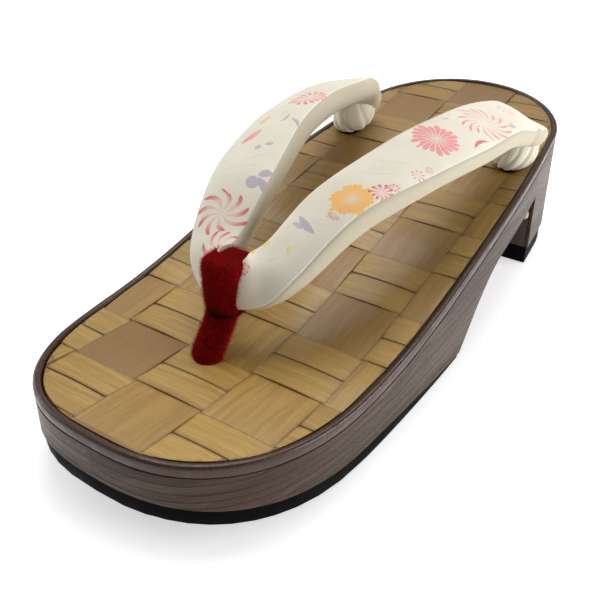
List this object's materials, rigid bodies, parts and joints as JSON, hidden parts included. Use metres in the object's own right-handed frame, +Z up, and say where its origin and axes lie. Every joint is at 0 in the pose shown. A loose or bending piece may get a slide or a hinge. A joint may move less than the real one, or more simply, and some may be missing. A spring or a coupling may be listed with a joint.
{
  "type": "geta sandal",
  "caption": "Platform sandal with an arched wooden body, raised heel, woven wood footbed, black rubber soles and a padded floral cloth thong.",
  "frame": {"origin": "on the floor under the middle of the sandal's outer box", "axes": "+Z up, -Y towards the toe, +Y towards the heel, +X to the side that the picture shows"},
  "size_m": [0.0974, 0.2421, 0.0689],
  "materials": {
    "painted_wood": "dark reddish brown stained wood, satin",
    "side_wrap": "grey-brown stained wood with a fine lengthwise grain, satin",
    "edging": "dark brown glossy edging with a fine pebble",
    "woven_veneer": "golden tan veneer strips in a checker weave, satin",
    "sole_rubber": "matt black rubber",
    "printed_cloth": "cream crepe cloth printed with chrysanthemums",
    "velvet": "deep red velvet pile",
    "cord": "unbleached cotton cord"
  },
  "bodies": {
    "root": {"edge_rim": "edging", "front_knot": "cord", "front_sole_rubber": "sole_rubber", "heel_sole_rubber": "sole_rubber", "left_knot": "cord", "right_knot": "cord", "side_wrap": "side_wrap", "thong_straps": "printed_cloth", "toe_loop": "velvet", "wood_body": "painted_wood", "woven_top": "woven_veneer"}
  },
  "joints": []
}
